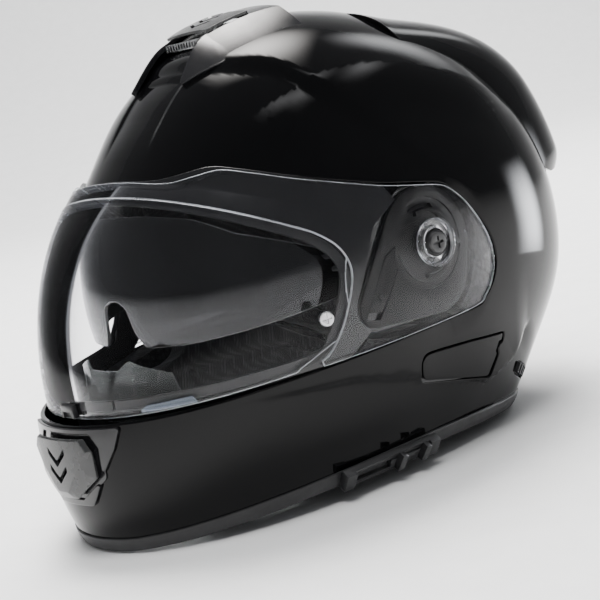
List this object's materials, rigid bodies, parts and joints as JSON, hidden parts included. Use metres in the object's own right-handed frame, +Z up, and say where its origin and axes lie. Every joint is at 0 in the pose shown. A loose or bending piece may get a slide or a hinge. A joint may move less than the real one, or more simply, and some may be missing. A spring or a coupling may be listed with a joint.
{
  "type": "motorcycle helmet",
  "caption": "Full-face motorcycle helmet with a lifting clear visor, a drop-down smoke sun visor, sliding vents, lined interior and a ratchet chin strap.",
  "frame": {"origin": "centre of the helmet's outline on the surface it rests on", "axes": "-Y toward the front of the helmet, +X toward the wearer's left, +Z up"},
  "size_m": [0.2532, 0.3753, 0.2795],
  "materials": {
    "gloss_black": "high gloss",
    "trim_rubber": "matte",
    "clear_visor": "clear",
    "smoke_visor": "dark smoke",
    "black_plastic": "satin",
    "satin_grey": "satin",
    "clear_plastic": "gloss",
    "steel": "brushed",
    "foam": "matte beads",
    "lining": "knitted",
    "webbing": "woven",
    "red_plastic": "gloss"
  },
  "bodies": {
    "helmet": {"outer_shell": "gloss_black", "rim_trim": "trim_rubber", "eyeport_gasket": "trim_rubber", "chin_catch": "black_plastic", "base_plate_left": "black_plastic", "base_plate_right": "black_plastic", "pivot_screws": "steel", "sun_visor_pivots": "black_plastic", "slider_track": "black_plastic", "top_vent_fairing": "black_plastic", "top_vent_mesh": "steel", "chin_vent_panel": "gloss_black", "chin_vent_grille": "black_plastic", "breath_guard": "black_plastic", "chin_curtain": "lining", "rear_spoiler": "gloss_black", "rear_vent_grille": "black_plastic", "side_exhausts": "black_plastic", "eps_liner": "foam", "cheek_eps": "foam", "chin_eps": "foam", "crown_pad": "lining", "cheek_pad_left": "lining", "cheek_pad_right": "lining", "neck_roll": "lining", "strap_left": "webbing", "strap_right": "webbing", "strap_rivets": "steel", "buckle_body": "steel", "buckle_pin": "steel", "ratchet_tongue": "steel"},
    "visor": {"visor": "clear_visor", "visor_hubs": "clear_plastic", "visor_latch": "black_plastic", "window_pins": "steel"},
    "sun_visor": {"sun_visor": "smoke_visor"},
    "slider": {"slider_thumb": "black_plastic"},
    "top_vent": {"top_vent_slider": "satin_grey"},
    "chin_vent": {"chin_vent_cover": "satin_grey"},
    "cover_left": {"side_cover_left": "gloss_black"},
    "cover_right": {"side_cover_right": "gloss_black"},
    "lever_left": {"release_lever_left": "black_plastic"},
    "lever_right": {"release_lever_right": "black_plastic"},
    "buckle_lever": {"buckle_lever": "red_plastic"}
  },
  "joints": [
    {"name": "visor_lift", "type": "hinge", "parent": "helmet", "child": "visor", "pos_m": [0, 0.0073, 0.1275], "axis": [-1, 0, 0], "range_deg": [0, 32]},
    {"name": "sun_visor_swing", "type": "hinge", "parent": "helmet", "child": "sun_visor", "pos_m": [0, 0.0013, 0.1225], "axis": [-1, 0, 0], "range_deg": [0, 35]},
    {"name": "sun_slider", "type": "slide", "parent": "helmet", "child": "slider", "axis": [-0.0767, -0.9971, 0], "range_m": [0, 0.025]},
    {"name": "top_vent_slide", "type": "slide", "parent": "helmet", "child": "top_vent", "axis": [0, 0.9703, 0.2419], "range_m": [0, 0.0075]},
    {"name": "chin_vent_slide", "type": "slide", "parent": "helmet", "child": "chin_vent", "axis": [0, 0.11, 0.9939], "range_m": [0, 0.0035]},
    {"name": "side_cover_left_pull", "type": "slide", "parent": "helmet", "child": "cover_left", "axis": [1, 0, 0], "range_m": [0, 0.02]},
    {"name": "side_cover_right_pull", "type": "slide", "parent": "helmet", "child": "cover_right", "axis": [-1, 0, 0], "range_m": [0, 0.02]},
    {"name": "release_lever_left_slide", "type": "slide", "parent": "helmet", "child": "lever_left", "axis": [0, -0.5547, -0.8321], "range_m": [0, 0.0035], "stiffness_N_per_m": 600},
    {"name": "release_lever_right_slide", "type": "slide", "parent": "helmet", "child": "lever_right", "axis": [0, -0.5547, -0.8321], "range_m": [0, 0.0035], "stiffness_N_per_m": 600},
    {"name": "buckle_lever_lift", "type": "hinge", "parent": "helmet", "child": "buckle_lever", "pos_m": [-0.006, -0.0267, 0.0188], "axis": [0, -1, 0], "range_deg": [0, 40], "stiffness_Nm_per_rad": 0.06}
  ],
  "couplings": [
    {"joint": "sun_slider", "follows": "sun_visor_swing", "m_per_rad": 0.04092}
  ]
}
